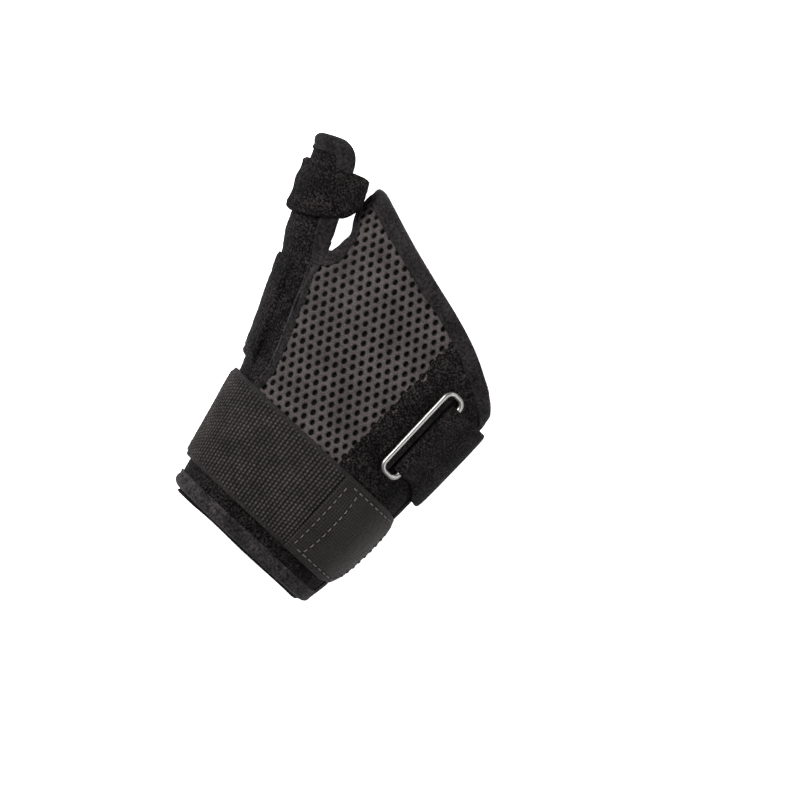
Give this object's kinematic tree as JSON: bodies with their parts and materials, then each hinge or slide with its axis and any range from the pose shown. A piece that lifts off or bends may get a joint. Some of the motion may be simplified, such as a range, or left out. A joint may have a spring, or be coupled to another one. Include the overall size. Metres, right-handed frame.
{
  "type": "wrist splint",
  "caption": "Padded wrist and thumb splint for the right hand, with a strapped thumb tongue, a wire strap ring and a wide wrist strap that ends in a tab.",
  "frame": {"origin": "on the flat underside of the wrist strap, in the middle of the wrist", "axes": "+X to the ulnar (little finger) side, +Y towards the fingers, +Z out of the back of the hand, with the splint lying palm down"},
  "size_m": [0.1092, 0.1239, 0.0484],
  "materials": {
    "mesh": "open spacer mesh, matt, dark warm grey",
    "velour": "short fuzzy loop pile, black",
    "binding": "knitted tape, dark grey",
    "lining": "smooth jersey, black",
    "padding": "soft foam",
    "webbing": "ribbed woven elastic, black",
    "tab": "pebbled synthetic leather, dark grey",
    "hook": "hook tape, black",
    "steel": "polished wire",
    "stay": "flat bar",
    "tips": "moulded tips"
  },
  "bodies": {
    "wrap": {"lining_back": "lining", "padding_back": "padding", "mesh_panel": "mesh", "ulnar_panel": "velour", "thumb_panel": "velour", "cuff_binding_back": "binding", "opening_binding": "binding", "distal_binding": "binding", "lining_palm": "lining", "padding_palm": "padding", "palm_panel": "velour", "cuff_binding_palm": "binding", "palm_binding": "binding", "palm_pad": "tab", "tongue_lining": "lining", "tongue_padding": "padding", "thumb_stay": "stay", "tongue_velour": "velour", "tongue_tip_binding": "binding", "tongue_side_bindings": "binding", "thumb_strap_root": "velour", "radial_pocket": "velour", "slot_ring": "steel", "slot_welt": "binding", "hand_strap_root": "velour", "wrist_strap_root": "webbing"},
    "wrist_strap": {"wrist_strap_span": "webbing", "tab_root": "tab"},
    "wrist_tab": {"tab_cover": "tab", "tab_hook": "hook"},
    "hand_flap": {"hand_strap_tail": "velour", "hand_strap_hook": "hook"},
    "thumb_flap": {"thumb_strap_flap": "velour", "thumb_strap_hook": "hook"},
    "palm_stay": {"palm_stay": "stay", "palm_stay_tips": "tips"}
  },
  "joints": [
    {"name": "wrist_tab_peel", "type": "hinge", "parent": "wrist_strap", "child": "wrist_tab", "pos_m": [0.01978, 0, 0.04588], "axis": [0, -1, 0], "range_deg": [0, 105]},
    {"name": "wrist_strap_lift", "type": "hinge", "parent": "wrap", "child": "wrist_strap", "pos_m": [-0.03695, 0, 0.0264], "axis": [0.23, -0.9732, -0.0088], "range_deg": [0, 30]},
    {"name": "hand_strap_peel", "type": "hinge", "parent": "wrap", "child": "hand_flap", "pos_m": [0.0252, 0.0413, 0.0412], "axis": [0, -0.9938, 0.1113], "range_deg": [0, 115]},
    {"name": "thumb_strap_peel", "type": "hinge", "parent": "wrap", "child": "thumb_flap", "pos_m": [-0.0475, 0.08447, 0.03385], "axis": [-0.4419, 0.8968, -0.0228], "range_deg": [0, 115]},
    {"name": "palm_stay_slide", "type": "slide", "parent": "wrap", "child": "palm_stay", "axis": [0, -1, 0], "range_m": [0, 0.094]}
  ],
  "couplings": [
    {"joint": "wrist_strap_lift", "follows": "wrist_tab_peel", "ratio": 0.28}
  ]
}
